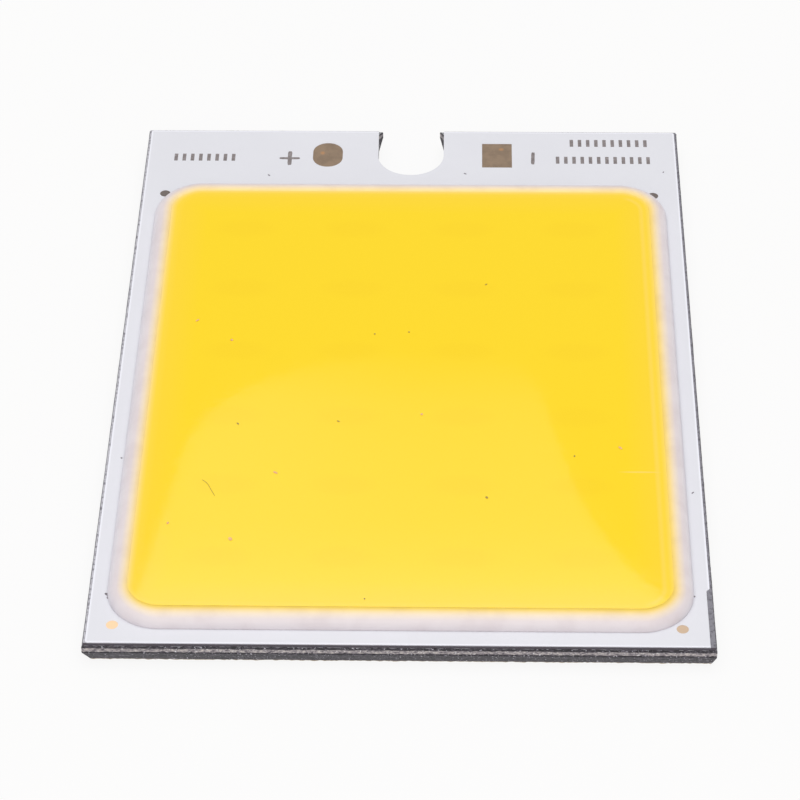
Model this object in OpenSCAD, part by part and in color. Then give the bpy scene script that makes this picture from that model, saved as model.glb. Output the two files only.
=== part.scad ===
// Chip-on-board (COB) light engine on an aluminium-core board.
//
// A square-cut aluminium plate carries a thin insulating layer, an etched copper
// circuit and a white solder mask. Blue LED chips sit in windows of the mask and
// are wired in series by bond wires. A silicone dam rings them, and the ring is
// filled with yellow phosphor silicone, which is the surface that gives light.
//
// X is across the board, Y along it with the screw notch at +Y, Z up.
// The origin is the middle of the board's underside.

/* [Board] */
// Width of the board between its snapped edges
board_w = 26; // [25:0.1:30]
// Length of the board between its snapped edges
board_l = 36; // [35:0.1:40]
// Thickness of the aluminium plate
plate_t = 1.0; // [0.9:0.05:2]
// Thickness of the insulating layer on the plate
dielectric_t = 0.05; // [0.03:0.01:0.15]
// Step from the board's edge in to the insulating layer
dielectric_setback = 0.06; // [0.05:0.01:0.12]

/* [Scored edges] */
// Full angle of the scoring blade
blade_angle = 45; // [20:1:60]
// Depth of the score in the plate's top
top_score_depth = 0.09; // [0.04:0.01:0.1]
// Depth of the score in the plate's underside
bottom_score_depth = 0.65; // [0.3:0.01:0.7]
// Sideways error of the bottom scores against the top ones
score_shift = 0.07; // [0:0.01:0.1]

/* [Screw notch] */
// Radius of the notch's round end, for an M3 screw
notch_r = 1.6; // [1.2:0.05:1.8]
// Place of the notch's centre across the board
notch_x = -0.05; // [-0.5:0.05:0.5]
// Distance from the notch's centre to the board's end
notch_from_end = 2.12; // [1.9:0.02:2.3]
// How far each lip of pushed-over metal stands into the notch's mouth
lip_w = 0.2; // [0.05:0.01:0.3]
// Length of each lip along the notch
lip_l = 0.27; // [0.1:0.01:0.4]

/* [Copper circuit] */
// Thickness of the copper foil
copper_t = 0.035; // [0.02:0.005:0.06]
// Width of the gap between neighbouring copper islands
copper_gap = 0.3; // [0.2:0.02:0.4]
// Width of the two supply rails beside the light field
rail_w = 1.1; // [0.9:0.05:1.3]
// Distance from the board's side to the middle of each rail
rail_from_side = 1.25; // [1.2:0.05:1.3]
// Width of the track from a solder pad to its rail
feed_w = 1.3; // [0.8:0.05:1.5]
// Distance from the notch's centre back to the middle of those tracks
feed_from_notch = 1.9; // [1.8:0.05:2]

/* [Solder pads] */
// Width of each solder pad's opening
pad_w = 1.45; // [1:0.05:1.8]
// Length of each solder pad's opening
pad_l = 1.95; // [1.9:0.05:2.2]
// Place of the round-ended plus pad across the board
plus_pad_x = -4.1; // [-5:0.05:-3.5]
// Place of the square-cornered minus pad across the board
minus_pad_x = 4.15; // [3.5:0.05:5]
// Distance from the middle of the pads to the board's end
pads_from_end = 2.1; // [1.8:0.05:2.2]
// How far the copper reaches under the mask round each opening
pad_overlap = 0.12; // [0.05:0.01:0.2]

/* [Solder mask] */
// Thickness of the mask over the copper
mask_cover = 0.015; // [0.01:0.005:0.03]
// Step from the board's edge in to the mask
mask_setback = 0.15; // [0.12:0.01:0.3]
// Radius of the mask's corners
mask_corner_r = 0.12; // [0.05:0.01:0.4]
// Diameter of the four dots that guide the dispenser
dot_d = 0.5; // [0.3:0.05:0.7]
// Distance from the board's side to the dots
dots_from_side = 1.28; // [1.2:0.01:1.4]
// How far all four dots lie off to the left
dots_shift = 0.1; // [0:0.01:0.15]
// Distance from the board's near end to the near dots
dots_from_near_end = 1.18; // [1.1:0.01:1.3]
// Distance from the board's notched end to the far dots
dots_from_far_end = 5.3; // [5.25:0.05:5.4]
// Length of the strip that has chipped off the mask beside the near right corner
chipped_l = 3.3; // [1:0.1:5]
// Width of that chipped strip
chipped_w = 0.14; // [0.05:0.01:0.2]

/* [LED chips] */
// Rows of chips
chip_rows = 6; // [6:3:6]
// Chips in each row
chip_columns = 4; // [3:1:4]
// Distance from row to row
row_pitch = 4.5; // [4:0.05:4.55]
// Distance from chip to chip along a row
column_pitch = 5.1; // [4.6:0.05:5.1]
// Side of the square chip
chip_side = 0.95; // [0.6:0.05:1]
// Thickness of the chip
chip_t = 0.15; // [0.1:0.01:0.2]
// Thickness of the adhesive under the chip
attach_t = 0.01; // [0.01:0.005:0.02]
// How far the adhesive shows round the chip
attach_margin = 0.04; // [0.02:0.01:0.05]
// How far the copper under a chip reaches past that adhesive
die_copper_margin = 0.05; // [0.03:0.01:0.08]
// Width of the mask window round a chip and its two landing areas
window_w = 2.7; // [2.5:0.05:2.8]
// Length of that window
window_l = 1.2; // [1.1:0.05:1.4]
// Radius of the window's corners
window_corner_r = 0.3; // [0.1:0.05:0.4]
// Gap between the copper under a chip and the copper beside it
landing_gap = 0.15; // [0.1:0.01:0.2]

/* [Bond wires] */
// Diameter of the gold wire
wire_d = 0.03; // [0.02:0.005:0.05]
// Distance from the chip's edge in to each wire's contact
contact_inset = 0.14; // [0.1:0.01:0.2]
// Diameter of each contact on the chip
contact_d = 0.1; // [0.07:0.01:0.12]
// Height of each contact above the chip
contact_t = 0.01; // [0.005:0.005:0.02]
// Span of each wire from its contact to its landing
wire_span = 0.6; // [0.5:0.01:0.64]
// Straight rise of the wire over its contact before it bends
wire_rise = 0.03; // [0.02:0.01:0.06]

/* [Dam and fill] */
// Width of the dam's foot
dam_w = 1.15; // [1:0.05:1.3]
// Height of the dam above the mask
dam_h = 0.62; // [0.56:0.01:0.8]
// Distance from the board's sides to the dam's crest
dam_from_side = 1.4; // [1.35:0.01:1.6]
// Distance from the board's near end to the dam's crest
dam_from_near_end = 1.52; // [1.4:0.01:1.8]
// Distance from the board's notched end to the dam's crest
dam_from_far_end = 5.5; // [5.45:0.01:5.6]
// Radius of the dam's corners along its crest
dam_corner_r = 1.7; // [1:0.05:2.5]
// Height of the fill above the mask
fill_h = 0.55; // [0.53:0.01:0.55]

/* [Hidden] */
$fn = 48;

// Reach of a cut past the faces that it goes through
over = 1;

// Heights of the layers
dielectric_top = plate_t + dielectric_t;
copper_top = dielectric_top + copper_t;
mask_top = copper_top + mask_cover;
chip_foot = copper_top + attach_t;
chip_top = chip_foot + chip_t;
contact_top = chip_top + contact_t;

// Insets that the blade leaves at the plate's two faces
blade_slope = tan(blade_angle / 2);
top_inset = top_score_depth * blade_slope;
bottom_inset = bottom_score_depth * blade_slope;

// Ends and sides of the board
side_x = board_w / 2;
end_y = board_l / 2;
notch_y = end_y - notch_from_end;
pads_y = end_y - pads_from_end;

// The dam's crest, as a box
crest_w = board_w - 2 * dam_from_side;
crest_l = board_l - dam_from_near_end - dam_from_far_end;
crest_y = (dam_from_near_end - dam_from_far_end) / 2;

// The bead of the dam is a circle cut by the mask
bead_r = (dam_w * dam_w / 4 + dam_h * dam_h) / (2 * dam_h);

// Where the chips stand: the field is centred in the dam
string_rows = 3;
string_count = chip_rows / string_rows;
function chip_x(column) = (column - (chip_columns + 1) / 2) * column_pitch;
function chip_y(row) = crest_y + ((chip_rows + 1) / 2 - row) * row_pitch;

// Contacts and landings, measured from the middle of a chip
contact_x = chip_side / 2 - contact_inset;
landing_x = contact_x + wire_span;

// Copper under a chip ends here, and the next island starts a gap further on
die_copper_x = chip_side / 2 + attach_margin + die_copper_margin;
next_copper_x = die_copper_x + landing_gap;

// Copper that carries the field, between the rails
rail_x = side_x - rail_from_side;
rail_inner_x = rail_x - rail_w / 2;
field_x = rail_inner_x - copper_gap;
island_l = row_pitch - copper_gap;

// Middle of the tracks that feed the rails, and the rails' near ends
feed_y = notch_y - feed_from_notch;
rail_far_y = feed_y + feed_w / 2;
rail_near_y = -end_y + dots_from_near_end - dot_d / 2 - pad_overlap;

// Colours of the pieces
aluminium_colour = [0.62, 0.62, 0.66];
dielectric_colour = [0.45, 0.45, 0.47];
copper_colour = [0.72, 0.5, 0.35];
mask_colour = [0.93, 0.93, 0.96];
attach_colour = [0.78, 0.78, 0.8];
chip_colour = [0.6, 0.72, 0.85];
wire_colour = [0.95, 0.78, 0.35];
dam_colour = [0.93, 0.9, 0.9];
fill_colour = [1, 0.84, 0.16];

// ---- outlines ----

// A box with rounded corners, centred on the origin
module rounded_box(w, l, r) {
    for (x = [-1, 1], y = [-1, 1])
        translate([x * (w / 2 - r), y * (l / 2 - r)])
            circle(r);
    square([w - 2 * r, l], center = true);
    square([w, l - 2 * r], center = true);
}

// A box from one corner to the other
module box_between(x1, y1, x2, y2) {
    translate([min(x1, x2), min(y1, y2)])
        square([abs(x2 - x1), abs(y2 - y1)]);
}

// The screw notch: a round end that runs out through the board's end
module notch_outline(mouth_y = end_y + over) {
    translate([notch_x, notch_y])
        circle(notch_r);
    box_between(notch_x - notch_r, notch_y, notch_x + notch_r, mouth_y);
}

// The notch in the plate narrows between its two lips
module lipped_notch_outline() {
    lip_start_y = end_y - lip_l;
    notch_outline(lip_start_y);
    translate([notch_x, 0])
        polygon([
            [-notch_r, lip_start_y],
            [notch_r, lip_start_y],
            [notch_r - lip_w, end_y],
            [notch_r - lip_w, end_y + over],
            [lip_w - notch_r, end_y + over],
            [lip_w - notch_r, end_y]
        ]);
}

// Where the four dispenser dots are
module dot_places() {
    for (side = [-1, 1], y = [-end_y + dots_from_near_end, end_y - dots_from_far_end])
        translate([side * (side_x - dots_from_side) - dots_shift, y])
            children();
}

// The openings over the two solder pads, grown by a margin
module plus_pad(margin = 0) {
    straight = pad_l - pad_w;
    translate([plus_pad_x, pads_y]) {
        for (y = [-1, 1])
            translate([0, y * straight / 2])
                circle(pad_w / 2 + margin);
        square([pad_w + 2 * margin, straight], center = true);
    }
}

module minus_pad(margin = 0) {
    translate([minus_pad_x, pads_y])
        square([pad_w + 2 * margin, pad_l + 2 * margin], center = true);
}

// ---- the board ----

// The plate's section across one pair of scored edges
module scored_section(width, shift) {
    half = width / 2;
    polygon([
        [shift - half + bottom_inset, 0],
        [shift + half - bottom_inset, 0],
        [half, bottom_score_depth],
        [half, plate_t - top_score_depth],
        [half - top_inset, plate_t],
        [top_inset - half, plate_t],
        [-half, plate_t - top_score_depth],
        [-half, bottom_score_depth]
    ]);
}

module base_plate() {
    color(aluminium_colour)
        difference() {
            intersection() {
                rotate([90, 0, 0])
                    linear_extrude(board_l + 2 * over, center = true)
                        scored_section(board_w, score_shift);
                rotate([90, 0, 90])
                    linear_extrude(board_w + 2 * over, center = true)
                        scored_section(board_l, 0);
            }
            translate([0, 0, -over])
                linear_extrude(plate_t + 2 * over)
                    lipped_notch_outline();
        }
}

module dielectric() {
    color(dielectric_colour)
        translate([0, 0, plate_t])
            linear_extrude(dielectric_t)
                difference() {
                    square([board_w - 2 * dielectric_setback, board_l - 2 * dielectric_setback], center = true);
                    notch_outline();
                }
}

// ---- the copper circuit ----

module copper_layer() {
    translate([0, 0, dielectric_top])
        linear_extrude(copper_t)
            children();
}

// A supply rail with its feed track, on the left side, or mirrored on the right
module rail_outline(side, pad_x) {
    box_between(side * (rail_x - rail_w / 2), rail_near_y, side * (rail_x + rail_w / 2), rail_far_y);
    box_between(side * rail_x, feed_y - feed_w / 2, pad_x - side * feed_w / 2, feed_y + feed_w / 2);
    box_between(pad_x - feed_w / 2, feed_y, pad_x + feed_w / 2, pads_y);
}

// The copper from a rail to the first or last chip of one string
module rail_branch(side, row, inner_x) {
    box_between(side * rail_x, chip_y(row) - island_l / 2, inner_x, chip_y(row) + island_l / 2);
}

// Each string starts at the positive rail in its first row
module positive_rail() {
    color(copper_colour)
        copper_layer() {
            plus_pad(pad_overlap);
            rail_outline(-1, plus_pad_x);
            for (string = [1:string_count])
                rail_branch(-1, (string - 1) * string_rows + 1, chip_x(1) + die_copper_x);
        }
}

// and ends at the negative rail in its last row
module negative_rail() {
    color(copper_colour)
        copper_layer() {
            minus_pad(pad_overlap);
            rail_outline(1, minus_pad_x);
            for (string = [1:string_count])
                rail_branch(1, string * string_rows, chip_x(chip_columns) + next_copper_x);
        }
}

// The island from one chip to the next in a row
module link_outline(row, column) {
    box_between(
        chip_x(column) + next_copper_x, chip_y(row) - island_l / 2,
        chip_x(column + 1) + die_copper_x, chip_y(row) + island_l / 2
    );
}

// The island that joins a row to the one below it, at the field's right or left side
module turn_outline(row, side) {
    inner_x = side > 0 ? chip_x(chip_columns) + next_copper_x : chip_x(1) + die_copper_x;
    box_between(inner_x, chip_y(row) + island_l / 2, side * field_x, chip_y(row + 1) - island_l / 2);
}

module series_links_outline() {
    for (row = [1:chip_rows], column = [1:chip_columns - 1])
        link_outline(row, column);
    for (string = [1:string_count], turn = [1:string_rows - 1])
        turn_outline((string - 1) * string_rows + turn, turn % 2 == 1 ? 1 : -1);
}

module series_links() {
    color(copper_colour)
        copper_layer()
            series_links_outline();
}

module copper_circuit() {
    positive_rail();
    negative_rail();
    series_links();
}

// ---- the solder mask ----

// Where the chips stand, with the window round each
module chip_places() {
    for (row = [1:chip_rows], column = [1:chip_columns])
        translate([chip_x(column), chip_y(row)])
            children();
}

module mask_openings() {
    notch_outline();
    plus_pad();
    minus_pad();
    dot_places()
        circle(d = dot_d);
    chip_places()
        rounded_box(window_w, window_l, window_corner_r);
}

// The strip that has broken away along the near end of the right side
module chipped_strip() {
    edge_x = side_x - mask_setback;
    near_y = -end_y + mask_setback;
    polygon([
        [edge_x - chipped_w, near_y - over],
        [edge_x + over, near_y - over],
        [edge_x + over, near_y + chipped_l + chipped_w],
        [edge_x, near_y + chipped_l + chipped_w],
        [edge_x - chipped_w, near_y + chipped_l]
    ]);
}

module solder_mask() {
    color(mask_colour)
        difference() {
            translate([0, 0, dielectric_top])
                linear_extrude(mask_top - dielectric_top)
                    difference() {
                        rounded_box(board_w - 2 * mask_setback, board_l - 2 * mask_setback, mask_corner_r);
                        mask_openings();
                        chipped_strip();
                    }
            copper_circuit();
        }
}

// ---- chips and wires ----

module die_attach() {
    attach_side = chip_side + 2 * attach_margin;
    color(attach_colour)
        translate([0, 0, copper_top])
            linear_extrude(attach_t)
                chip_places()
                    square(attach_side, center = true);
}

module led_chip(row, column) {
    color(chip_colour)
        translate([chip_x(column), chip_y(row), 0]) {
            translate([0, 0, chip_foot + chip_t / 2])
                cube([chip_side, chip_side, chip_t], center = true);
            for (side = [-1, 1])
                translate([side * contact_x, 0, chip_top])
                    cylinder(d = contact_d, h = contact_t);
        }
}

// A loop of wire from a chip's contact over to the landing beside it
module bond_wire() {
    bend_r = wire_span / 2;
    bend_z = contact_top + wire_rise;
    translate([contact_x, 0, contact_top])
        cylinder(d = wire_d, h = wire_rise);
    translate([contact_x + bend_r, 0, bend_z])
        rotate([90, 0, 0])
            rotate_extrude(angle = 180)
                translate([bend_r, 0])
                    circle(d = wire_d, $fn = 16);
    translate([landing_x, 0, copper_top])
        cylinder(d = wire_d, h = bend_z - copper_top);
}

module bond_wires(row) {
    color(wire_colour)
        for (column = [1:chip_columns])
            translate([chip_x(column), chip_y(row), 0]) {
                bond_wire();
                mirror([1, 0, 0])
                    bond_wire();
            }
}

// ---- dam and fill ----

// The bead's section, standing on the mask. A cut with it also takes a root below.
module bead_section(root = 0) {
    difference() {
        translate([0, dam_h - bead_r])
            circle(bead_r);
        translate([-dam_w, -2 * dam_h])
            square([2 * dam_w, 2 * dam_h]);
    }
    if (root > 0)
        translate([-dam_w / 2, -root])
            square([dam_w, root]);
}

// Sweeps a section round the line of the dam's crest
module round_the_dam() {
    straight_w = crest_w - 2 * dam_corner_r;
    straight_l = crest_l - 2 * dam_corner_r;
    translate([0, crest_y, mask_top]) {
        for (side = [-1, 1]) {
            translate([side * crest_w / 2, 0, 0])
                rotate([90, 0, 0])
                    linear_extrude(straight_l, center = true)
                        children();
            translate([0, side * crest_l / 2, 0])
                rotate([90, 0, 90])
                    linear_extrude(straight_w, center = true)
                        children();
        }
        for (quarter = [0:3])
            translate([
                (quarter == 0 || quarter == 3 ? 1 : -1) * straight_w / 2,
                (quarter < 2 ? 1 : -1) * straight_l / 2,
                0
            ])
                rotate([0, 0, 90 * quarter])
                    rotate_extrude(angle = 90)
                        translate([dam_corner_r, 0])
                            children();
    }
}

module dam() {
    color(dam_colour)
        round_the_dam()
            bead_section();
}

// The fill runs down into the windows of the mask, round chips, wires and copper
module phosphor_fill() {
    color(fill_colour)
        difference() {
            union() {
                translate([0, crest_y, mask_top])
                    linear_extrude(fill_h)
                        rounded_box(crest_w, crest_l, dam_corner_r);
                translate([0, 0, dielectric_top])
                    linear_extrude(mask_top - dielectric_top)
                        chip_places()
                            rounded_box(window_w, window_l, window_corner_r);
            }
            round_the_dam()
                bead_section(over);
            copper_circuit();
            die_attach();
            for (row = [1:chip_rows]) {
                bond_wires(row);
                for (column = [1:chip_columns])
                    led_chip(row, column);
            }
        }
}

base_plate();
dielectric();
positive_rail();
negative_rail();
series_links();
solder_mask();
die_attach();
for (row = [1:chip_rows], column = [1:chip_columns])
    led_chip(row, column);
for (row = [1:chip_rows])
    bond_wires(row);
dam();
phosphor_fill();
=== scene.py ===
# Chip-on-board light engine: finishes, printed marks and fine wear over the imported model
import bpy, bmesh, math, random
from mathutils import Matrix, Vector, noise


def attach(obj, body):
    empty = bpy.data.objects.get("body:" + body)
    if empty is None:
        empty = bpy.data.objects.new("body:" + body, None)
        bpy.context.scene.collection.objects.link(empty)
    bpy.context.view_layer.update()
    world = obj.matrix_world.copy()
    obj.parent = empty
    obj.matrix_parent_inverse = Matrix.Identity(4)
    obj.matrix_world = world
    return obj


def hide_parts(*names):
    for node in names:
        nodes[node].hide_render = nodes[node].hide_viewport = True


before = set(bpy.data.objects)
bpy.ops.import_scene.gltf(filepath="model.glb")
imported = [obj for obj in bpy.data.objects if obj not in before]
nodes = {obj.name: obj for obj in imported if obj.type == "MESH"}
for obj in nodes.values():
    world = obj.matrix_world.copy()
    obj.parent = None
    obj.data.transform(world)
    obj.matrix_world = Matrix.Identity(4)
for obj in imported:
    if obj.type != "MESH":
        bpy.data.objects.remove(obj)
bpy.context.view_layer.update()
mm = 0.001
print("frame loaded:", len(nodes), "nodes")

# camera

camera = {
    "place": (0.0024576, -0.1107252, 0.0937058),
    "turn": -1.427,        # degrees, to the left of straight ahead
    "dip": 40.540,         # degrees below level
    "roll": -0.554,
    "lens": 144.225,       # on a 36 mm sensor
}


def placeCamera():
    turn, dip, roll = (math.radians(camera[key]) for key in ("turn", "dip", "roll"))
    ahead = Vector((math.sin(turn) * math.cos(dip), math.cos(turn) * math.cos(dip), -math.sin(dip)))
    levelRight = Vector((math.cos(turn), -math.sin(turn), 0))
    levelUp = levelRight.cross(ahead)
    right = levelRight * math.cos(roll) + levelUp * math.sin(roll)
    up = levelUp * math.cos(roll) - levelRight * math.sin(roll)
    data = bpy.data.cameras.new("camera")
    data.lens = camera["lens"]
    data.sensor_width = 36
    data.clip_start = 0.005
    data.clip_end = 20
    holder = bpy.data.objects.new("camera", data)
    bpy.context.scene.collection.objects.link(holder)
    facing = Matrix((right, up, -ahead)).transposed().to_4x4()
    holder.matrix_world = Matrix.Translation(camera["place"]) @ facing
    bpy.context.scene.camera = holder


placeCamera()
print("camera placed")

# node helpers


def screen(red, green, blue):
    # a colour as a screen shows it, 0 to 255, in linear light
    def linear(value):
        value /= 255
        return value / 12.92 if value <= 0.04045 else ((value + 0.055) / 1.055) ** 2.4
    return (linear(red), linear(green), linear(blue), 1)


def freshMaterial(name):
    material = bpy.data.materials.new(name)
    material.use_nodes = True
    tree = material.node_tree
    tree.nodes.clear()
    output = tree.nodes.new("ShaderNodeOutputMaterial")
    shader = tree.nodes.new("ShaderNodeBsdfPrincipled")
    tree.links.new(shader.outputs["BSDF"], output.inputs["Surface"])
    return material, tree, shader


def feed(tree, value, socket):
    if isinstance(value, bpy.types.NodeSocket):
        tree.links.new(value, socket)
    else:
        socket.default_value = value


def maths(tree, operation, *values):
    node = tree.nodes.new("ShaderNodeMath")
    node.operation = operation
    for index, value in enumerate(values):
        feed(tree, value, node.inputs[index])
    return node.outputs[0]


def boardPoint(tree):
    # object coordinates in millimetres: the whole point, and its x, y and z
    place = tree.nodes.new("ShaderNodeTexCoord").outputs["Object"]
    scaled = tree.nodes.new("ShaderNodeVectorMath")
    scaled.operation = "SCALE"
    tree.links.new(place, scaled.inputs[0])
    scaled.inputs["Scale"].default_value = 1000
    split = tree.nodes.new("ShaderNodeSeparateXYZ")
    tree.links.new(scaled.outputs[0], split.inputs[0])
    return scaled.outputs[0], split.outputs[0], split.outputs[1], split.outputs[2]


def grain(tree, point, scale, detail=3.0, roughness=0.5, stretch=None):
    # noise from 0 to 1; scale is in cells per millimetre
    if stretch:
        mapping = tree.nodes.new("ShaderNodeMapping")
        tree.links.new(point, mapping.inputs["Vector"])
        mapping.inputs["Scale"].default_value = stretch
        point = mapping.outputs[0]
    node = tree.nodes.new("ShaderNodeTexNoise")
    tree.links.new(point, node.inputs["Vector"])
    node.inputs["Scale"].default_value = scale
    node.inputs["Detail"].default_value = detail
    node.inputs["Roughness"].default_value = roughness
    return node.outputs[0]


def between(tree, value, low, high, outLow=0.0, outHigh=1.0, kind="SMOOTHSTEP"):
    node = tree.nodes.new("ShaderNodeMapRange")
    node.interpolation_type = kind
    for index, number in enumerate((value, low, high, outLow, outHigh)):
        feed(tree, number, node.inputs[index])
    return node.outputs[0]


def blend(tree, factor, first, second, kind="MIX"):
    node = tree.nodes.new("ShaderNodeMix")
    node.data_type = "RGBA"
    node.blend_type = kind
    feed(tree, factor, node.inputs[0])
    feed(tree, first, node.inputs[6])
    feed(tree, second, node.inputs[7])
    return node.outputs[2]


def ramp(tree, factor, stops):
    node = tree.nodes.new("ShaderNodeValToRGB")
    elements = node.color_ramp.elements
    elements.remove(elements[1])
    elements[0].position, elements[0].color = stops[0]
    for position, colour in stops[1:]:
        elements.new(position).color = colour
    feed(tree, factor, node.inputs[0])
    return node.outputs[0]


def bump(tree, shader, height, strength, distance):
    node = tree.nodes.new("ShaderNodeBump")
    node.inputs["Strength"].default_value = strength
    node.inputs["Distance"].default_value = distance
    feed(tree, height, node.inputs["Height"])
    feed(tree, node.outputs[0], shader.inputs["Normal"])


def roundedDepth(tree, x, y, centre, size, radius):
    # how far a point lies inside a box with rounded corners, in millimetres
    def past(value, middle, whole):
        offset = maths(tree, "ABSOLUTE", maths(tree, "SUBTRACT", value, middle))
        return maths(tree, "SUBTRACT", offset, whole / 2 - radius)

    pastX, pastY = past(x, centre[0], size[0]), past(y, centre[1], size[1])
    cornerX = maths(tree, "POWER", maths(tree, "MAXIMUM", pastX, 0.0), 2.0)
    cornerY = maths(tree, "POWER", maths(tree, "MAXIMUM", pastY, 0.0), 2.0)
    outside = maths(tree, "SQRT", maths(tree, "ADD", cornerX, cornerY))
    inside = maths(tree, "MINIMUM", maths(tree, "MAXIMUM", pastX, pastY), 0.0)
    return maths(tree, "SUBTRACT", radius, maths(tree, "ADD", outside, inside))


def ovalReach(tree, dx, dy, size):
    # 0 at an oval's middle and 1 at its rim
    across = maths(tree, "POWER", maths(tree, "DIVIDE", dx, size[0]), 2.0)
    along = maths(tree, "POWER", maths(tree, "DIVIDE", dy, size[1]), 2.0)
    return maths(tree, "SQRT", maths(tree, "ADD", across, along))


def spot(tree, x, y, place, size, soft=0.4):
    # 1 at a place on the board, falling to 0 at an oval's rim
    dx = maths(tree, "SUBTRACT", x, place[0])
    dy = maths(tree, "SUBTRACT", y, place[1])
    return between(tree, ovalReach(tree, dx, dy, size), 1 - soft, 1.0, 1.0, 0.0)


def dress(name, material):
    target = nodes[name]
    target.data.materials.clear()
    target.data.materials.append(material)


def newPiece(name, mesh, material, body="root"):
    piece = bpy.data.objects.new(name, mesh)
    bpy.context.scene.collection.objects.link(piece)
    mesh.materials.clear()
    mesh.materials.append(material)
    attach(piece, body)
    return piece


# aluminium plate

plate = {
    "size": (26.0, 36.0, 1.0),
    "topScore": 0.09,
    "bottomScore": 0.65,
    "bladeAngle": 45.0,
    "scoreShift": 0.07,
    "notch": (-0.05, 15.88, 1.6),   # x, y and radius
    "lip": (0.2, 0.27),
    "step": 0.1,                    # between points along an edge
    "tear": 0.05,                   # depth of the torn grain on the snapped web
    "scratch": 0.014,               # depth of the blade's scratches
    "ragged": 0.06,                 # how far the rims of the two faces wander in
    "rimDepth": 0.40,               # how far in the scored rim reaches, and on the top face
    "topRimDepth": 0.02,
    "web": (0.72, 0.86, 0.04),      # the pale torn band: its low and high sides, and its fade
    "paleFoot": 0.09,
    "levels": (0.0, 0.10, 0.22, 0.34, 0.46, 0.56, 0.62, 0.65, 0.69, 0.73,
               0.77, 0.81, 0.85, 0.88, 0.91, 0.93, 0.955, 0.98, 1.0),
    "seed": 11,
}


def metalMaterial():
    material, tree, shader = freshMaterial("scoredAluminium")
    point, x, y, z = boardPoint(tree)
    # the scored and snapped rim is what lies near the outer edge, but hardly any of the top face
    depth = roundedDepth(tree, x, y, (0, 0), plate["size"][:2], 0.001)
    reach = between(tree, z, 0.990, 0.996, plate["rimDepth"], plate["topRimDepth"], "LINEAR")
    rim = maths(tree, "LESS_THAN", depth, reach)
    webLow, webHigh, soft = plate["web"]
    web = maths(tree, "MULTIPLY", between(tree, z, webLow - soft, webLow),
                between(tree, z, webHigh, webHigh + soft, 1.0, 0.0))
    mottle = grain(tree, point, 6.0, 4.0, 0.7, (1.0, 1.0, 2.2))
    fine = grain(tree, point, 11.0, 3.0, 0.7)
    glint = between(tree, fine, 0.60, 0.68)
    glint = maths(tree, "MULTIPLY", glint, 0.8)
    groove = ramp(tree, mottle, [(0.36, screen(10, 8, 14)), (0.50, screen(34, 28, 38)),
                                 (0.66, screen(84, 78, 88))])
    groove = blend(tree, glint, groove, screen(214, 210, 220))
    torn = ramp(tree, mottle, [(0.36, screen(74, 68, 76)), (0.50, screen(148, 140, 144)),
                               (0.64, screen(200, 192, 186))])
    torn = blend(tree, glint, torn, screen(246, 244, 246))
    edge = blend(tree, web, groove, torn)
    foot = between(tree, z, plate["paleFoot"], plate["paleFoot"] / 3)     # a pale warm band along the foot of the lower score
    edge = blend(tree, foot, edge, screen(188, 170, 150))
    rolled = ramp(tree, grain(tree, point, 1.4, 5.0, 0.6, (1.0, 0.06, 1.0)),
                  [(0.3, screen(168, 168, 172)), (0.7, screen(190, 190, 194))])
    feed(tree, blend(tree, rim, rolled, edge), shader.inputs["Base Color"])
    feed(tree, between(tree, rim, 0.0, 1.0, 0.85, 0.08, "LINEAR"), shader.inputs["Metallic"])
    feed(tree, between(tree, fine, 0.3, 0.7, 0.38, 0.62), shader.inputs["Roughness"])
    bump(tree, shader, grain(tree, point, 9.0, 3.0, 0.6, (1.0, 0.25, 1.0)), 0.12, 0.01 * mm)
    return material


def plateInset(z):
    # how far each side stands in at a height: left, right, and both ends
    slope = math.tan(math.radians(plate["bladeAngle"] / 2))
    if z < plate["bottomScore"]:
        inset = (plate["bottomScore"] - z) * slope
        shift = plate["scoreShift"] * (plate["bottomScore"] - z) / plate["bottomScore"]
        return inset + shift, inset - shift, inset
    low = plate["size"][2] - plate["topScore"]
    inset = max(0.0, (z - low) * slope)
    return inset, inset, inset


def platePath(z):
    # the plate's outline at a height, with its notch; the same points at each height
    halfX, halfY = plate["size"][0] / 2, plate["size"][1] / 2
    leftIn, rightIn, endIn = plateInset(z)
    left, right, near, far = -halfX + leftIn, halfX - rightIn, -halfY + endIn, halfY - endIn
    notchX, notchY, notchR = plate["notch"]
    lipW, lipL = plate["lip"]
    lipStart = halfY - lipL
    mouth = notchR - lipW * (far - lipStart) / lipL
    sections = []

    def line(a, b, count, outward):
        for index in range(count):
            t = index / count
            sections.append((a[0] + (b[0] - a[0]) * t, a[1] + (b[1] - a[1]) * t, outward))

    countX = round(plate["size"][0] / plate["step"])
    countY = round(plate["size"][1] / plate["step"])
    line((left, near), (right, near), countX, (0, -1))
    line((right, near), (right, far), countY, (1, 0))
    line((right, far), (notchX + mouth, far), countX // 2, (0, 1))
    line((notchX + mouth, far), (notchX + notchR, lipStart), 6, None)
    line((notchX + notchR, lipStart), (notchX + notchR, notchY), 10, None)
    for index in range(64):
        angle = -math.pi * index / 64
        sections.append((notchX + notchR * math.cos(angle), notchY + notchR * math.sin(angle), None))
    line((notchX - notchR, notchY), (notchX - notchR, lipStart), 10, None)
    line((notchX - notchR, lipStart), (notchX - mouth, far), 6, None)
    line((notchX - mouth, far), (left, far), countX // 2, (0, 1))
    line((left, far), (left, near), countY, (-1, 0))
    return sections


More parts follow.
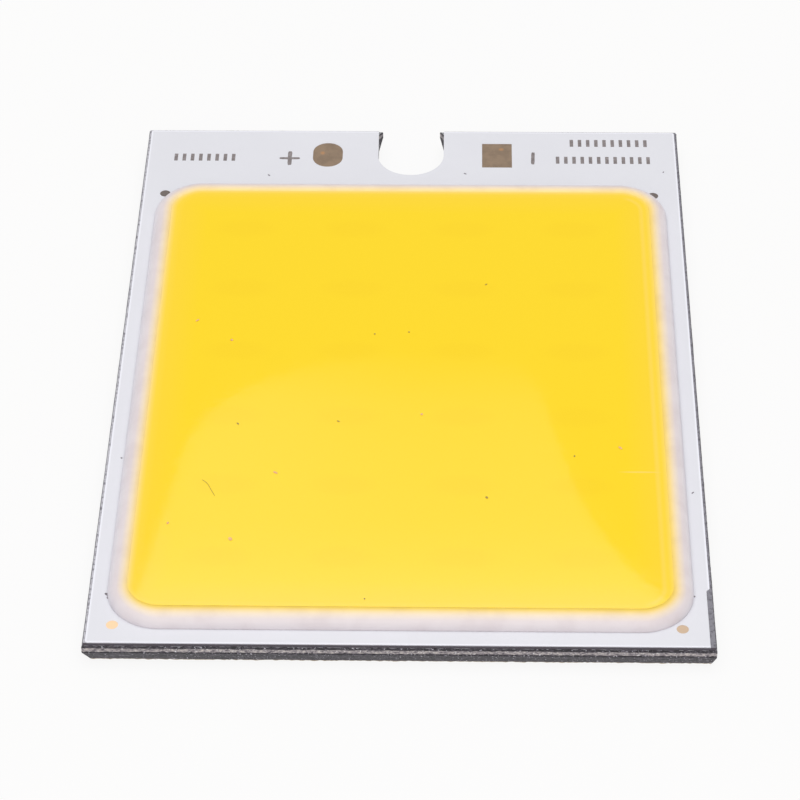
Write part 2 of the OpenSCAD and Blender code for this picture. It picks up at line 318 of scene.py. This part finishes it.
def edgeDepth(px, py, z, outward, torn, flat):
    # how far an edge stands in: torn grain on the web, ragged rims, blade scratches elsewhere
    if torn:
        cell = Vector((px * 4.2 + plate["seed"], py * 4.2, z * 9))
        return plate["tear"] * min(1.0, max(0.0, 0.5 + 0.5 * noise.fractal(cell, 0.8, 2.1, 4)))
    if flat:
        ragged = noise.fractal(Vector((px * 4.5, py * 4.5, z + 3)), 0.7, 2.2, 4)
        return plate["ragged"] * min(1.0, max(0.0, 0.5 + 0.7 * ragged))
    along = px if outward[0] == 0 else py
    scratch = noise.noise(Vector((along * 0.9, z * 60, plate["seed"])))
    return plate["scratch"] * (0.5 + 0.5 * scratch)


def plateMesh():
    levels = plate["levels"]
    build = bmesh.new()
    rings = []
    for z in levels:
        ring = []
        torn = plate["bottomScore"] <= z <= plate["size"][2] - plate["topScore"]
        flat = z in (levels[0], levels[-1])
        for px, py, outward in platePath(z):
            if outward:
                depth = edgeDepth(px, py, z, outward, torn, flat)
                px -= outward[0] * depth
                py -= outward[1] * depth
            ring.append(build.verts.new((px * mm, py * mm, z * mm)))
        rings.append(ring)
    for low, high in zip(rings, rings[1:]):
        count = len(low)
        for index in range(count):
            after = (index + 1) % count
            build.faces.new((low[index], low[after], high[after], high[index]))
    build.faces.new(rings[-1])
    build.faces.new(list(reversed(rings[0])))
    bmesh.ops.recalc_face_normals(build, faces=build.faces)
    bmesh.ops.triangulate(build, faces=[face for face in build.faces if len(face.verts) > 4])
    mesh = bpy.data.meshes.new("scoredPlate")
    build.to_mesh(mesh)
    build.free()
    return mesh


metal = metalMaterial()
scoredPlate = newPiece("scoredPlate", plateMesh(), metal)
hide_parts("base_plate")
print("plate made:", len(scoredPlate.data.polygons), "faces")

# insulation, copper and mask

board = {
    "insulationLitLeft": (188, 187, 194),
    "insulationShadedRight": (132, 130, 138),
    "insulationShadedNear": (66, 58, 66),
    "padBrown": (144, 122, 100),
    "padDark": (130, 110, 90),
    "dotNearLeftHighlight": (255, 214, 170),
    "dotNearRightHighlight": (205, 178, 150),
    "dotFarShade": (110, 100, 95),
    "mask": (225, 225, 231),
    "maskEdgeHighlight": (244, 244, 252),
    "maskSize": (25.7, 35.7),
    "maskCorner": 0.12,
}


def insulationMaterial():
    material, tree, shader = freshMaterial("greyInsulation")
    point, x, y, z = boardPoint(tree)
    # painted shade: the strip is lit on the left and shaded towards the right, standing in for light from the
    # left
    shade = between(tree, x, -13.0, 13.0, 0.0, 1.0, "LINEAR")
    mottled = grain(tree, point, 5.5, 4.0, 0.7)
    colour = blend(tree, shade, screen(*board["insulationLitLeft"]), screen(*board["insulationShadedRight"]))
    # painted shade: the strip turns dark along its near end
    colour = blend(tree, between(tree, y, -17.80, -17.86), colour, screen(*board["insulationShadedNear"]))
    colour = blend(tree, between(tree, mottled, 0.48, 0.62, 0.0, 0.7), colour, screen(70, 66, 76))
    feed(tree, colour, shader.inputs["Base Color"])
    feed(tree, between(tree, mottled, 0.3, 0.7, 0.45, 0.65), shader.inputs["Roughness"])
    bump(tree, shader, grain(tree, point, 22.0), 0.3, 0.01 * mm)
    return material


def copperMaterial():
    material, tree, shader = freshMaterial("tarnishedCopper")
    point, x, y, z = boardPoint(tree)
    cloud = grain(tree, point, 1.7, 4.0, 0.6)
    fine = grain(tree, point, 14.0, 3.0, 0.6)
    colour = blend(tree, between(tree, cloud, 0.35, 0.65), screen(*board["padBrown"]), screen(*board["padDark"]))
    colour = blend(tree, between(tree, fine, 0.5, 0.8, 0.0, 0.3), colour, screen(160, 142, 118))
    for place, size, strength in (((-4.36, 16.07), (0.16, 0.2), 0.8), ((4.36, 16.43), (0.18, 0.16), 0.8)):
        mark = maths(tree, "MULTIPLY", spot(tree, x, y, place, size, 0.8), strength)
        colour = blend(tree, mark, colour, screen(180, 132, 88))
    # painted light on the copper dots: a painted highlight on the near-left dot, a weaker one on the near-right
    # dot, painted shade on the far pair
    for place, key in (((-11.82, -16.82), "dotNearLeftHighlight"), ((11.62, -16.82), "dotNearRightHighlight"),
                       ((-11.82, 12.7), "dotFarShade"), ((11.62, 12.7), "dotFarShade")):
        colour = blend(tree, spot(tree, x, y, place, (0.45, 0.45), 0.1), colour, screen(*board[key]))
    feed(tree, colour, shader.inputs["Base Color"])
    shader.inputs["Metallic"].default_value = 0.0
    feed(tree, between(tree, fine, 0.3, 0.7, 0.4, 0.6), shader.inputs["Roughness"])
    bump(tree, shader, fine, 0.3, 0.01 * mm)
    return material


def maskMaterial():
    material, tree, shader = freshMaterial("whiteMask")
    point, x, y, z = boardPoint(tree)
    depth = roundedDepth(tree, x, y, (0, 0), board["maskSize"], board["maskCorner"])
    cloud = grain(tree, point, 0.25, 3.0, 0.5)
    colour = blend(tree, between(tree, cloud, 0.3, 0.7), screen(*board["mask"]), screen(223, 223, 229))
    # painted highlight: a pale line along the mask's outer edge
    edge = between(tree, depth, 0.02, 0.11, 0.85, 0.0)
    colour = blend(tree, edge, colour, screen(*board["maskEdgeHighlight"]))
    feed(tree, colour, shader.inputs["Base Color"])
    feed(tree, between(tree, grain(tree, point, 6.0), 0.3, 0.7, 0.32, 0.42), shader.inputs["Roughness"])
    bump(tree, shader, grain(tree, point, 4.5, 4.0, 0.55), 0.12, 0.01 * mm)
    return material


copper = copperMaterial()
dress("dielectric", insulationMaterial())
for name in ("positive_rail", "negative_rail", "series_links"):
    dress(name, copper)
dress("solder_mask", maskMaterial())
print("board layers finished")

# chips, adhesive and wires under the fill

inner = {
    "chip": (150, 178, 214),
    "adhesive": (204, 204, 208),
    "gold": (236, 190, 96),
}


def innerMaterial(name, colour, shade, metallic, rough, scale):
    material, tree, shader = freshMaterial(name)
    point = boardPoint(tree)[0]
    mottled = grain(tree, point, scale, 3.0, 0.6)
    feed(tree, blend(tree, between(tree, mottled, 0.3, 0.7), screen(*colour), shade), shader.inputs["Base Color"])
    shader.inputs["Metallic"].default_value = metallic
    feed(tree, between(tree, mottled, 0.3, 0.7, rough, rough + 0.12), shader.inputs["Roughness"])
    bump(tree, shader, mottled, 0.15, 0.004 * mm)
    return material


chipFinish = innerMaterial("sapphireChip", inner["chip"], screen(120, 150, 196), 0.0, 0.12, 9.0)
wireFinish = innerMaterial("goldWire", inner["gold"], screen(222, 170, 80), 1.0, 0.22, 20.0)
dress("die_attach", innerMaterial("dieAdhesive", inner["adhesive"], screen(180, 180, 186), 0.0, 0.4, 16.0))
for name in nodes:
    if name.startswith("led_chip"):
        dress(name, chipFinish)
    elif name.startswith("bond_wires"):
        dress(name, wireFinish)
print("chips and wires finished")

# silicone dam and phosphor fill

dam = {
    "crestSize": (23.2, 28.98),
    "crestCentre": (0.0, -1.99),
    "corner": 1.7,
    "width": 1.15,
    "height": 0.62,
    "foot": 1.10,
    "sectionSteps": 36,
    "pathStep": 0.12,
    "wave": 0.012,          # how far the bead's width and height waver
    "chipPitch": (5.1, 4.5),
    "chipShade": (1.4, 0.65),   # half the width and length of the oval over each chip
    "glowBoxSize": (23.2, 29.15),     # the box that the painted glow follows, off-centre to the near right
    "glowBoxCentre": (0.05, -2.105),
    "seed": 5,
}
colourAndGlowStops = (
    (-0.60, (236, 231, 237)), (-0.50, (228, 222, 228)), (-0.20, (228, 217, 217)),
    (0.00, (240, 221, 194)), (0.22, (252, 221, 138)), (0.35, (252, 217, 95)),
    (0.50, (252, 215, 62)), (0.80, (252, 214, 48)), (2.00, (252, 216, 33)),
)


def colourAndGlow(tree, x, y):
    # milky silicone from the outer foot inwards; the yellow towards the crest and down the inner side is painted
    # light, the fill's glow coming through the translucent bead; in the fill the yellow grows paler towards the
    # dam
    depth = roundedDepth(tree, x, y, dam["glowBoxCentre"], dam["glowBoxSize"], dam["corner"])
    low, high = colourAndGlowStops[0][0], colourAndGlowStops[-1][0]
    along = between(tree, depth, low, high, 0.0, 1.0, "LINEAR")
    stops = [((place - low) / (high - low), screen(*colour)) for place, colour in colourAndGlowStops]
    return depth, ramp(tree, along, stops)


def damMaterial():
    material, tree, shader = freshMaterial("milkySilicone")
    point, x, y, z = boardPoint(tree)
    # the dam's colour carries the painted glow of the fill coming through the bead
    colour = colourAndGlow(tree, x, y)[1]
    cloud = grain(tree, point, 0.9, 3.0, 0.5)
    clouded = between(tree, cloud, 0.35, 0.75, 0.0, 0.25)
    colour = blend(tree, clouded, colour, screen(222, 212, 214), "MULTIPLY")
    feed(tree, colour, shader.inputs["Base Color"])
    feed(tree, between(tree, grain(tree, point, 5.0), 0.3, 0.7, 0.30, 0.42), shader.inputs["Roughness"])
    shader.inputs["IOR"].default_value = 1.41
    bump(tree, shader, grain(tree, point, 2.4, 3.0, 0.5), 0.15, 0.02 * mm)
    return material


def fillMaterial():
    material, tree, shader = freshMaterial("phosphorSilicone")
    point, x, y, z = boardPoint(tree)
    depth, colour = colourAndGlow(tree, x, y)
    # the chips show through as faint darker ovals
    halfX, halfY = dam["chipPitch"][0] / 2, dam["chipPitch"][1] / 2
    fieldY = maths(tree, "SUBTRACT", y, dam["crestCentre"][1])
    acrossX = maths(tree, "SUBTRACT", halfX, maths(tree, "PINGPONG", x, halfX))
    acrossY = maths(tree, "SUBTRACT", halfY, maths(tree, "PINGPONG", fieldY, halfY))
    chipShade = between(tree, ovalReach(tree, acrossX, acrossY, dam["chipShade"]), 0.5, 1.35, 0.16, 0.0)
    colour = blend(tree, chipShade, colour, (0.93, 0.86, 0.80, 1), "MULTIPLY")
    # a painted highlight: a pale line along the raised rim on the right, where it reflects a bright light; and a
    # fine mark lies across it
    rimHighlight = maths(tree, "MULTIPLY", between(tree, depth, 0.55, 0.70),
                    between(tree, depth, 0.70, 0.88, 1.0, 0.0))
    rimHighlight = maths(tree, "MULTIPLY", rimHighlight, between(tree, x, 10.0, 10.5, 0.0, 0.55))
    colour = blend(tree, rimHighlight, colour, screen(252, 217, 96))
    scratch = maths(tree, "MULTIPLY", spot(tree, x, y, (10.2, -7.8), (1.1, 0.07), 0.6), 0.5)
    colour = blend(tree, scratch, colour, screen(252, 222, 124))
    powder = grain(tree, point, 9.0, 4.0, 0.7)
    colour = blend(tree, between(tree, powder, 0.35, 0.75, 0.0, 0.06), colour, screen(238, 190, 30))
    feed(tree, colour, shader.inputs["Base Color"])
    feed(tree, between(tree, grain(tree, point, 3.0), 0.3, 0.7, 0.02, 0.05), shader.inputs["Roughness"])
    shader.inputs["IOR"].default_value = 1.41
    bump(tree, shader, grain(tree, point, 1.2, 3.0, 0.6), 0.05, 0.01 * mm)
    return material


def damPath():
    # points along the crest with their outward direction
    halfX, halfY = dam["crestSize"][0] / 2, dam["crestSize"][1] / 2
    r = dam["corner"]
    centreX, centreY = dam["crestCentre"]
    path = []

    def straight(a, b, outward):
        count = max(2, round((Vector(b) - Vector(a)).length / dam["pathStep"]))
        for index in range(count):
            t = index / count
            path.append((a[0] + (b[0] - a[0]) * t, a[1] + (b[1] - a[1]) * t, outward))

    def corner(cx, cy, start):
        for index in range(24):
            angle = math.radians(start + 90 * index / 24)
            outward = (math.cos(angle), math.sin(angle))
            path.append((cx + r * outward[0], cy + r * outward[1], outward))

    right, left = centreX + halfX, centreX - halfX
    far, near = centreY + halfY, centreY - halfY
    straight((right, near + r), (right, far - r), (1, 0))
    corner(right - r, far - r, 0)
    straight((right - r, far), (left + r, far), (0, 1))
    corner(left + r, far - r, 90)
    straight((left, far - r), (left, near + r), (-1, 0))
    corner(left + r, near + r, 180)
    straight((left + r, near), (right - r, near), (0, -1))
    corner(right - r, near + r, 270)
    return path


def damMesh():
    width, height, foot = dam["width"], dam["height"], dam["foot"]
    beadR = (width * width / 4 + height * height) / (2 * height)
    centreZ = height - beadR
    reach = math.acos(-centreZ / beadR)
    build = bmesh.new()
    rings = []
    for px, py, outward in damPath():
        cell = Vector((px * 0.35 + dam["seed"], py * 0.35, 0))
        lowWave = noise.noise(cell)
        ring = []
        for index in range(dam["sectionSteps"] + 1):
            # from the outer foot over the crest to the inner foot
            angle = reach * (1 - 2 * index / dam["sectionSteps"])
            out, up = beadR * math.sin(angle), centreZ + beadR * math.cos(angle)
            inwards = dam["wave"] * (0.5 + 0.5 * lowWave)
            out *= 1 - inwards * 0.6
            up = max(0.0, up * (1 - inwards * 0.5))
            place = (px + outward[0] * out, py + outward[1] * out, foot + up)
            ring.append(build.verts.new([side * mm for side in place]))
        rings.append(ring)
    steps = dam["sectionSteps"]
    for index, ring in enumerate(rings):
        after = rings[(index + 1) % len(rings)]
        for step in range(steps):
            build.faces.new((ring[step], after[step], after[step + 1], ring[step + 1]))
        build.faces.new((ring[steps], after[steps], after[0], ring[0]))
    bmesh.ops.recalc_face_normals(build, faces=build.faces)
    for face in build.faces:
        face.smooth = abs(face.normal.z + 1) > 0.01
    mesh = bpy.data.meshes.new("damBead")
    build.to_mesh(mesh)
    build.free()
    return mesh


damBead = newPiece("damBead", damMesh(), damMaterial())
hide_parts("dam")
dress("phosphor_fill", fillMaterial())
print("dam and fill finished")

# printed marks

marks = {
    "inkColour": (112, 104, 104),
    "lift": 0.006,
    "plus": (-5.95, 15.6),
    "stroke": (5.90, 15.69),
    "corners": 24,          # points round each bar
    "seed": 3,
}


def inkMaterial():
    material, tree, shader = freshMaterial("brownInk")
    point = boardPoint(tree)[0]
    worn = grain(tree, point, 7.0, 4.0, 0.65)
    stops = [(0.3, screen(*marks["inkColour"])), (0.62, screen(142, 134, 134)), (0.8, screen(186, 180, 184))]
    feed(tree, ramp(tree, worn, stops), shader.inputs["Base Color"])
    feed(tree, between(tree, worn, 0.3, 0.7, 0.5, 0.7), shader.inputs["Roughness"])
    bump(tree, shader, grain(tree, point, 18.0), 0.2, 0.006 * mm)
    return material


def inkBar(build, centre, size, lean, lift, shaker):
    # one printed bar with slightly uneven sides, as a thin slab
    halfW, halfL = size[0] / 2, size[1] / 2
    outline = []
    count = marks["corners"]
    for index in range(count):
        angle = 2 * math.pi * (index + 0.5) / count
        squareness = 1 / max(abs(math.cos(angle)), abs(math.sin(angle)))
        wobble = 1 + shaker.uniform(-0.05, 0.05)
        u = halfW * math.cos(angle) * squareness * wobble
        v = halfL * math.sin(angle) * squareness * wobble
        outline.append((centre[0] + u * math.cos(lean) - v * math.sin(lean),
                        centre[1] + u * math.sin(lean) + v * math.cos(lean)))
    low = [build.verts.new((px * mm, py * mm, dam["foot"] * mm)) for px, py in outline]
    high = [build.verts.new((px * mm, py * mm, (dam["foot"] + lift) * mm)) for px, py in outline]
    build.faces.new(high)
    build.faces.new(list(reversed(low)))
    for index in range(count):
        after = (index + 1) % count
        build.faces.new((low[index], low[after], high[after], high[index]))


def inkPiece(name, bars):
    shaker = random.Random(marks["seed"])
    build = bmesh.new()
    for index, (centre, size, lean) in enumerate(bars):
        inkBar(build, centre, size, lean, marks["lift"] * (1 - 0.3 * index), shaker)
    bmesh.ops.recalc_face_normals(build, faces=build.faces)
    mesh = bpy.data.meshes.new(name)
    build.to_mesh(mesh)
    build.free()
    return newPiece(name, mesh, ink)


ink = inkMaterial()
plusX, plusY = marks["plus"]
inkPiece("plusMark", [((plusX, plusY), (0.97, 0.16), 0.0), ((plusX, plusY), (0.2, 1.1), 0.0)])
inkPiece("strokeMark", [(marks["stroke"], (0.17, 0.97), -0.03)])
print("polarity marks made")


def nodeInputs(name, sockets):
    # an empty node tree with named inputs; gives the tree, its input node and its group output
    tree = bpy.data.node_groups.new(name, "GeometryNodeTree")
    tree.interface.new_socket(name="Geometry", in_out="INPUT", socket_type="NodeSocketGeometry")
    tree.interface.new_socket(name="Geometry", in_out="OUTPUT", socket_type="NodeSocketGeometry")
    for label, kind in sockets:
        tree.interface.new_socket(name=label, in_out="INPUT", socket_type=kind)
    return tree, tree.nodes.new("NodeGroupInput"), tree.nodes.new("NodeGroupOutput")


def finishTree(tree, geometry, output, material):
    realize = tree.nodes.new("GeometryNodeRealizeInstances")
    paint = tree.nodes.new("GeometryNodeSetMaterial")
    paint.inputs["Material"].default_value = material
    tree.links.new(geometry, realize.inputs[0])
    tree.links.new(realize.outputs[0], paint.inputs["Geometry"])
    tree.links.new(paint.outputs[0], output.inputs[0])


def evaluatedMesh(holder):
    bpy.context.view_layer.update()
    graph = bpy.context.evaluated_depsgraph_get()
    return bpy.data.meshes.new_from_object(holder.evaluated_get(graph))


def bakeTree(name, mesh, tree, values, material):
    # runs a tree on a mesh and keeps the result as a plain piece
    source = bpy.data.objects.new(name + "Source", mesh)
    bpy.context.scene.collection.objects.link(source)
    modifier = source.modifiers.new("maker", "NODES")
    modifier.node_group = tree
    for item in tree.interface.items_tree:
        if item.name in values and item.in_out == "INPUT":
            modifier[item.identifier] = values[item.name]
    result = evaluatedMesh(source)
    source.modifiers.remove(modifier)
    bpy.data.objects.remove(source)
    result.name = name
    return newPiece(name, result, material)


# grading ticks, in place of any lettering

ticks = {
    "size": (0.17, 0.56, 0.006),
    "rows": {
        "ticksLeft": ((-11.5, 15.65), 8, 0.4),
        "ticksRight": ((7.1, 15.55), 12, 0.4),
        "ticksFar": ((7.8, 16.95), 10, 0.4),
    },
}


def tickTree():
    sockets = (("Count", "NodeSocketInt"), ("Pitch", "NodeSocketFloat"), ("Tick Size", "NodeSocketVector"))
    tree, given, output = nodeInputs("tickRow", sockets)
    line = tree.nodes.new("GeometryNodeMeshLine")
    offset = tree.nodes.new("ShaderNodeCombineXYZ")
    bar = tree.nodes.new("GeometryNodeMeshCube")
    spread = tree.nodes.new("GeometryNodeInstanceOnPoints")
    shift = tree.nodes.new("GeometryNodeSetPosition")
    tree.links.new(given.outputs["Count"], line.inputs["Count"])
    tree.links.new(given.outputs["Pitch"], offset.inputs["X"])
    tree.links.new(offset.outputs[0], line.inputs["Offset"])
    tree.links.new(given.outputs["Tick Size"], bar.inputs["Size"])
    first = tree.nodes.new("GeometryNodeSampleIndex")     # the row starts at the source mesh's only point
    first.data_type = "FLOAT_VECTOR"
    place = tree.nodes.new("GeometryNodeInputPosition")
    tree.links.new(given.outputs["Geometry"], first.inputs["Geometry"])
    tree.links.new(place.outputs[0], first.inputs["Value"])
    tree.links.new(line.outputs[0], shift.inputs["Geometry"])
    tree.links.new(first.outputs[0], shift.inputs["Offset"])
    tree.links.new(shift.outputs[0], spread.inputs["Points"])
    tree.links.new(bar.outputs["Mesh"], spread.inputs["Instance"])
    finishTree(tree, spread.outputs[0], output, ink)
    return tree


tickMaker = tickTree()
for name, (start, count, pitch) in ticks["rows"].items():
    point = bpy.data.meshes.new(name)
    height = dam["foot"] + ticks["size"][2] / 2
    point.from_pydata([(start[0] * mm, start[1] * mm, height * mm)], [], [])
    values = {"Count": count, "Pitch": pitch * mm, "Tick Size": [side * mm for side in ticks["size"]]}
    bakeTree(name, point, tickMaker, values, ink)
print("grading ticks made")

# dust

dust = {
    "fillTop": 1.65,
    "grainSize": 0.055,      # millimetres, half the width of a middling grain
    "paleSize": 0.08,
    "pale": ((-9.55, 2.35), (-7.9, 0.95), (0.75, -4.1), (9.4, -6.25), (-5.5, -8.0),
             (-9.9, -11.25), (-7.2, -12.2)),
    "dark": ((3.6, 5.1), (0.1, 1.6), (-1.45, 1.45), (-7.3, -4.8), (-2.9, -4.6),
             (7.4, -6.8), (3.6, -9.5), (-1.45, -15.75)),
    "smudge": ((-12.02, -15.02), (-11.92, -15.1), (-12.1, -15.22), (-11.98, -15.3), (-12.15, -15.05)),
    "smudgeSize": 0.11,
    "boardDark": ((12.45, -8.5), (-12.3, -6.5), (12.2, -14.9), (-6.9, 14.2), (2.6, 14.4), (12.2, 14.6)),
    "hair": ((-8.62, -8.5), (-8.45, -8.62), (-8.3, -8.85), (-8.2, -9.15), (-8.02, -9.5)),
    "hairWidth": 0.016,
    "seed": 21,
}


def dustMaterial(name, colour, shade):
    material, tree, shader = freshMaterial(name)
    point = boardPoint(tree)[0]
    mottled = between(tree, grain(tree, point, 12.0), 0.3, 0.7)
    feed(tree, blend(tree, mottled, screen(*colour), screen(*shade)), shader.inputs["Base Color"])
    shader.inputs["Roughness"].default_value = 0.8
    bump(tree, shader, grain(tree, point, 30.0), 0.3, 0.01 * mm)
    return material


def dustTree(material):
    sockets = (("Grain Size", "NodeSocketFloat"), ("Seed", "NodeSocketInt"))
    tree, given, output = nodeInputs("dustGrains", sockets)
    ball = tree.nodes.new("GeometryNodeMeshIcoSphere")
    ball.inputs["Subdivisions"].default_value = 2
    spread = tree.nodes.new("GeometryNodeInstanceOnPoints")
    sizes = tree.nodes.new("FunctionNodeRandomValue")
    sizes.data_type = "FLOAT_VECTOR"
    sizes.inputs["Min"].default_value = (0.6, 0.5, 0.35)
    sizes.inputs["Max"].default_value = (1.5, 1.1, 0.6)
    turns = tree.nodes.new("FunctionNodeRandomValue")
    turns.data_type = "FLOAT_VECTOR"
    turns.inputs["Max"].default_value = (0.0, 0.0, 6.28)
    tree.links.new(given.outputs["Geometry"], spread.inputs["Points"])
    tree.links.new(given.outputs["Grain Size"], ball.inputs["Radius"])
    tree.links.new(given.outputs["Seed"], sizes.inputs["Seed"])
    tree.links.new(given.outputs["Seed"], turns.inputs["Seed"])
    tree.links.new(ball.outputs["Mesh"], spread.inputs["Instance"])
    tree.links.new(sizes.outputs[0], spread.inputs["Scale"])
    tree.links.new(turns.outputs[0], spread.inputs["Rotation"])
    finishTree(tree, spread.outputs[0], output, material)
    return tree


def scatterDust(name, places, height, material, size=dust["grainSize"]):
    mesh = bpy.data.meshes.new(name)
    mesh.from_pydata([(px * mm, py * mm, (height + size * 0.2) * mm) for px, py in places], [], [])
    values = {"Grain Size": size * mm, "Seed": dust["seed"]}
    bakeTree(name, mesh, dustTree(material), values, material)


def hairMesh():
    data = bpy.data.curves.new("hair", "CURVE")
    data.dimensions = "3D"
    data.bevel_depth = dust["hairWidth"] * mm / 2
    data.bevel_resolution = 2
    data.use_fill_caps = True
    spline = data.splines.new("NURBS")
    spline.points.add(len(dust["hair"]) - 1)
    for point, (px, py) in zip(spline.points, dust["hair"]):
        point.co = (px * mm, py * mm, (dust["fillTop"] + dust["hairWidth"] / 2) * mm, 1)
    spline.use_endpoint_u = True
    spline.order_u = 4
    holder = bpy.data.objects.new("hairSource", data)
    bpy.context.scene.collection.objects.link(holder)
    mesh = evaluatedMesh(holder)
    bpy.data.objects.remove(holder)
    return mesh


paleDust = dustMaterial("paleDust", (240, 196, 130), (234, 176, 140))
hairBrown = dustMaterial("hairBrown", (104, 80, 46), (136, 104, 60))
darkDust = dustMaterial("darkDust", (150, 120, 70), (190, 160, 80))
greyDust = dustMaterial("greyDust", (110, 104, 110), (150, 146, 152))
scatterDust("dustPale", dust["pale"], dust["fillTop"], paleDust, dust["paleSize"])
scatterDust("dustDark", dust["dark"], dust["fillTop"], darkDust)
scatterDust("dustBoard", dust["boardDark"], dam["foot"], greyDust)
scatterDust("smudgeBoard", dust["smudge"], dam["foot"] - 0.02, greyDust, dust["smudgeSize"])
newPiece("hairCurl", hairMesh(), hairBrown)
print("dust and hair made")

# floor and light

studio = {
    "floorSize": 3.0,
    "floorGlow": 0.885,
    "worldLight": 0.40,
    "panelSize": 0.6,
    "panelHeight": 0.5,
    "panelPower": 1.92,
    "frontPower": 1.1,      # soft panel in front, beside the camera
    "cardHeight": 0.300,
    "cardEnds": ((46, 280), (-56, 280)),
    # each round corner of the card: where it starts, the corner itself, where it ends
    "cardCorners": (((-48, 334), (-42, 354), (-12, 358)), ((4, 358), (17, 357), (18, 345)),
                    ((23, 323), (27, 304), (45, 285))),
    "cardSteps": 6,
}


def newStagePiece(name, build, material):
    mesh = bpy.data.meshes.new(name)
    build.to_mesh(mesh)
    build.free()
    mesh.materials.append(material)
    holder = bpy.data.objects.new(name, mesh)
    bpy.context.scene.collection.objects.link(holder)
    return holder


def makeFloor():
    material, tree, shader = freshMaterial("paleFloor")
    point = boardPoint(tree)[0]
    pale = blend(tree, grain(tree, point, 0.02), (0.08, 0.08, 0.08, 1), (0.09, 0.09, 0.09, 1))
    feed(tree, pale, shader.inputs["Base Color"])
    shader.inputs["Roughness"].default_value = 0.9
    shader.inputs["Specular IOR Level"].default_value = 0.0
    shader.inputs["Emission Color"].default_value = (1.0, 0.997, 0.995, 1)
    shader.inputs["Emission Strength"].default_value = studio["floorGlow"]
    build = bmesh.new()
    bmesh.ops.create_grid(build, x_segments=4, y_segments=4, size=studio["floorSize"] / 2)
    floor = newStagePiece("floor", build, material)


def makeLights():
    world = bpy.data.worlds.new("studioAir")
    world.use_nodes = True
    background = world.node_tree.nodes["Background"]
    background.inputs["Color"].default_value = (1, 1, 1, 1)
    background.inputs["Strength"].default_value = studio["worldLight"]
    bpy.context.scene.world = world
    data = bpy.data.lights.new("softPanel", "AREA")
    data.shape = "SQUARE"
    data.size = studio["panelSize"]
    data.energy = studio["panelPower"]
    panel = bpy.data.objects.new("softPanel", data)
    panel.location = (0, 0, studio["panelHeight"])
    bpy.context.scene.collection.objects.link(panel)
    front = bpy.data.objects.new("frontPanel", data.copy())
    front.data.energy = studio["frontPower"]
    front.location = (0, -0.5, 0.3)
    front.rotation_euler = (Vector(front.location)).to_track_quat("Z", "Y").to_euler()
    bpy.context.scene.collection.objects.link(front)


def roundCorner(start, corner, end, steps):
    start, corner, end = Vector(start), Vector(corner), Vector(end)
    shares = [step / steps for step in range(steps + 1)]
    return [start.lerp(corner, share).lerp(corner.lerp(end, share), share) for share in shares]


def makeCard():
    # a white card behind the bench, which the fill's gloss picks up as a pale trapezoid
    material = bpy.data.materials.new("whiteCard")
    material.use_nodes = True
    tree = material.node_tree
    tree.nodes.clear()
    output = tree.nodes.new("ShaderNodeOutputMaterial")
    glow = tree.nodes.new("ShaderNodeEmission")
    tree.links.new(glow.outputs[0], output.inputs["Surface"])
    point, x, y, z = boardPoint(tree)
    along = between(tree, y, 280, 360, 0.0, 1.0, "LINEAR")
    tones = ((0.0, 2.6), (0.16, 2.3), (0.26, 1.7), (0.40, 1.3), (0.62, 1.12), (0.80, 0.95),
             (0.90, 0.65), (1.0, 0.42))
    level = ramp(tree, along, [(place, (tone, tone, tone, 1)) for place, tone in tones])
    level = blend(tree, between(tree, x, 0.0, -45.0, 0.0, 0.2), level, (2.6, 2.6, 2.6, 1))
    feed(tree, level, glow.inputs["Color"])
    build = bmesh.new()
    outline = list(studio["cardEnds"])
    for corner in studio["cardCorners"]:
        outline += roundCorner(*corner, studio["cardSteps"])
    build.faces.new([build.verts.new((px * mm, py * mm, studio["cardHeight"])) for px, py in outline])
    card = newStagePiece("whiteCard", build, material)


makeFloor()
makeLights()
makeCard()
bpy.context.scene.view_settings.view_transform = "Standard"
bpy.context.scene.view_settings.look = "None"
print("floor and lights placed")
